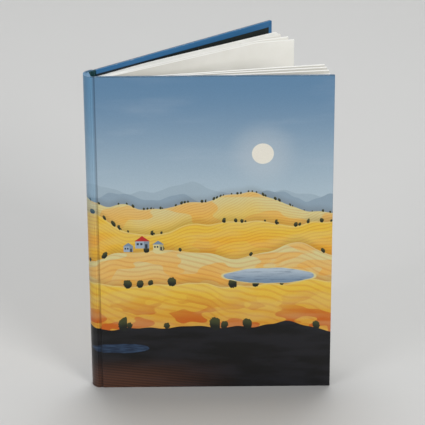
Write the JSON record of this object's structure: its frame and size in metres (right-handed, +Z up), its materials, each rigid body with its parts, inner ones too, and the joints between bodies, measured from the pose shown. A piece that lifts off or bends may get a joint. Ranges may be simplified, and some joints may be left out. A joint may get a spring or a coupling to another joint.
{
  "type": "hardcover notebook",
  "caption": "Case-bound hardcover notebook standing upright and partly open, with printed boards, a bowed spine, creased joints and folded paper sections fanned between the covers.",
  "frame": {"origin": "foot of the spine, in the middle of its wall, on the surface that the book stands on", "axes": "+Z up along the spine, +X along the front cover from the spine to its fore-edge, -Y out of the front cover"},
  "size_m": [0.1576, 0.1129, 0.218],
  "materials": {
    "front_wrap": "printed paper under a smooth gloss film",
    "front_board": "plain grey board",
    "front_pastedown": "uncoated dark paper",
    "front_flyleaf": "uncoated off-white paper",
    "back_wrap": "printed paper under a smooth gloss film",
    "back_board": "plain grey board",
    "back_pastedown": "uncoated dark paper",
    "back_flyleaf": "uncoated off-white paper",
    "spine_wrap": "printed paper under a smooth gloss film",
    "spine_card": "plain grey board",
    "spine_lining": "open cloth set in glue",
    "section_1": "uncoated off-white paper",
    "section_2": "uncoated off-white paper",
    "section_3": "uncoated off-white paper",
    "section_4": "uncoated off-white paper",
    "section_5": "uncoated off-white paper",
    "section_6": "uncoated off-white paper",
    "section_7": "uncoated off-white paper",
    "section_8": "uncoated off-white paper"
  },
  "bodies": {
    "spine": {"spine_card": "spine_card", "spine_wrap": "spine_wrap", "spine_lining": "spine_lining"},
    "front_cover": {"front_board": "front_board", "front_wrap": "front_wrap", "front_pastedown": "front_pastedown"},
    "back_cover": {"back_board": "back_board", "back_wrap": "back_wrap", "back_pastedown": "back_pastedown"},
    "leaves_1": {"section_1": "section_1", "front_flyleaf": "front_flyleaf"},
    "leaves_2": {"section_2": "section_2"},
    "leaves_3": {"section_3": "section_3"},
    "leaves_4": {"section_4": "section_4"},
    "leaves_5": {"section_5": "section_5"},
    "leaves_6": {"section_6": "section_6"},
    "leaves_7": {"section_7": "section_7"},
    "leaves_8": {"section_8": "section_8", "back_flyleaf": "back_flyleaf"}
  },
  "joints": [
    {"name": "front_cover_hinge", "type": "hinge", "parent": "spine", "child": "front_cover", "pos_m": [0.00588, -0.00617, 0], "axis": [0, 0, 1], "range_deg": [-90, 0]},
    {"name": "back_cover_hinge", "type": "hinge", "parent": "spine", "child": "back_cover", "pos_m": [0.00588, 0.00617, 0], "axis": [0, 0, 1], "range_deg": [-40.7, 49.3]},
    {"name": "section_1_hinge", "type": "hinge", "parent": "spine", "child": "leaves_1", "pos_m": [0.00588, 0.00617, 0], "axis": [0, 0, 1], "range_deg": [-4.21, 5.1]},
    {"name": "section_2_hinge", "type": "hinge", "parent": "spine", "child": "leaves_2", "pos_m": [0.00588, 0.00617, 0], "axis": [0, 0, 1], "range_deg": [-6.31, 7.64]},
    {"name": "section_3_hinge", "type": "hinge", "parent": "spine", "child": "leaves_3", "pos_m": [0.00588, 0.00617, 0], "axis": [0, 0, 1], "range_deg": [-8.31, 10.06]},
    {"name": "section_4_hinge", "type": "hinge", "parent": "spine", "child": "leaves_4", "pos_m": [0.00588, 0.00617, 0], "axis": [0, 0, 1], "range_deg": [-9.81, 11.88]},
    {"name": "section_5_hinge", "type": "hinge", "parent": "spine", "child": "leaves_5", "pos_m": [0.00588, 0.00617, 0], "axis": [0, 0, 1], "range_deg": [-33.91, 41.07]},
    {"name": "section_6_hinge", "type": "hinge", "parent": "spine", "child": "leaves_6", "pos_m": [0.00588, 0.00617, 0], "axis": [0, 0, 1], "range_deg": [-34.81, 42.16]},
    {"name": "section_7_hinge", "type": "hinge", "parent": "spine", "child": "leaves_7", "pos_m": [0.00588, 0.00617, 0], "axis": [0, 0, 1], "range_deg": [-35.61, 43.13]},
    {"name": "section_8_hinge", "type": "hinge", "parent": "spine", "child": "leaves_8", "pos_m": [0.00588, 0.00617, 0], "axis": [0, 0, 1], "range_deg": [-36.41, 44.1]}
  ],
  "couplings": [
    {"joint": "section_1_hinge", "follows": "back_cover_hinge", "ratio": 0.10319},
    {"joint": "section_2_hinge", "follows": "back_cover_hinge", "ratio": 0.15479},
    {"joint": "section_3_hinge", "follows": "back_cover_hinge", "ratio": 0.20393},
    {"joint": "section_4_hinge", "follows": "back_cover_hinge", "ratio": 0.24079},
    {"joint": "section_5_hinge", "follows": "back_cover_hinge", "ratio": 0.83292},
    {"joint": "section_6_hinge", "follows": "back_cover_hinge", "ratio": 0.85504},
    {"joint": "section_7_hinge", "follows": "back_cover_hinge", "ratio": 0.87469},
    {"joint": "section_8_hinge", "follows": "back_cover_hinge", "ratio": 0.89435}
  ]
}
